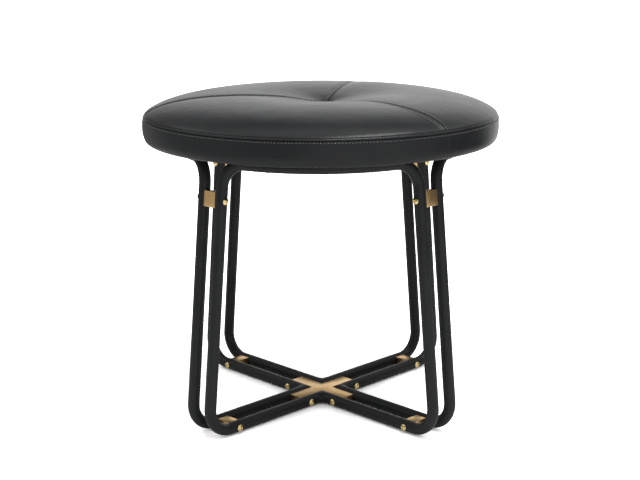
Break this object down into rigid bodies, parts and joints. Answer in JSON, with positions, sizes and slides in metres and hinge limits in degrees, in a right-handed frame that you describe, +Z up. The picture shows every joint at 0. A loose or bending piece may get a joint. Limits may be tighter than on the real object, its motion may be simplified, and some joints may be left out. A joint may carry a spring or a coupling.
{
  "type": "stool",
  "caption": "Round upholstered stool with a tufted leather cushion on an X-shaped base of looped steel tube, held together by brass blocks and socket screws.",
  "frame": {"origin": "on the floor under the centre of the seat, which is the bottom centre of the stool's bounding box", "axes": "+Z up along the seat's axis; the four feet stand on the diagonals between X and Y, so each tube loop faces along X or Y; -Y is the side nearest the viewer in the picture"},
  "size_m": [0.4966, 0.4963, 0.4483],
  "materials": {
    "black_steel": "satin",
    "satin_brass": "satin",
    "polished_brass": "polished",
    "zinc_steel": "satin",
    "black_leather": "satin",
    "foam": "matte",
    "plywood": "matte",
    "black_cloth": "matte",
    "nylon": "matte",
    "twine": "matte"
  },
  "bodies": {
    "root": {"tube_loop_right": "black_steel", "tube_loop_back": "black_steel", "tube_loop_left": "black_steel", "tube_loop_front": "black_steel", "cross_plate": "satin_brass", "foot_block_back_right": "satin_brass", "foot_block_back_left": "satin_brass", "foot_block_front_left": "satin_brass", "foot_block_front_right": "satin_brass", "leg_block_back_right": "satin_brass", "leg_block_back_left": "satin_brass", "leg_block_front_left": "satin_brass", "leg_block_front_right": "satin_brass", "glide_back_right": "nylon", "glide_back_left": "nylon", "glide_front_left": "nylon", "glide_front_right": "nylon", "cross_plate_screw_back_right_1": "polished_brass", "cross_plate_screw_back_right_2": "polished_brass", "cross_plate_screw_back_left_1": "polished_brass", "cross_plate_screw_back_left_2": "polished_brass", "cross_plate_screw_front_left_1": "polished_brass", "cross_plate_screw_front_left_2": "polished_brass", "cross_plate_screw_front_right_1": "polished_brass", "cross_plate_screw_front_right_2": "polished_brass", "foot_block_screw_back_right_1": "polished_brass", "foot_block_screw_back_right_2": "polished_brass", "foot_block_screw_back_left_1": "polished_brass", "foot_block_screw_back_left_2": "polished_brass", "foot_block_screw_front_left_1": "polished_brass", "foot_block_screw_front_left_2": "polished_brass", "foot_block_screw_front_right_1": "polished_brass", "foot_block_screw_front_right_2": "polished_brass", "leg_block_screw_back_right_1": "polished_brass", "leg_block_screw_back_right_2": "polished_brass", "leg_block_screw_back_left_1": "polished_brass", "leg_block_screw_back_left_2": "polished_brass", "leg_block_screw_front_left_1": "polished_brass", "leg_block_screw_front_left_2": "polished_brass", "leg_block_screw_front_right_1": "polished_brass", "leg_block_screw_front_right_2": "polished_brass", "seat_screw_1": "zinc_steel", "seat_screw_2": "zinc_steel", "seat_screw_3": "zinc_steel", "seat_screw_4": "zinc_steel", "seat_screw_5": "zinc_steel", "seat_screw_6": "zinc_steel", "seat_screw_7": "zinc_steel", "seat_screw_8": "zinc_steel", "seat_board": "plywood", "dust_cover": "black_cloth", "foam_pad": "foam", "tuft_tie": "twine", "leather_cover": "black_leather"}
  },
  "joints": []
}
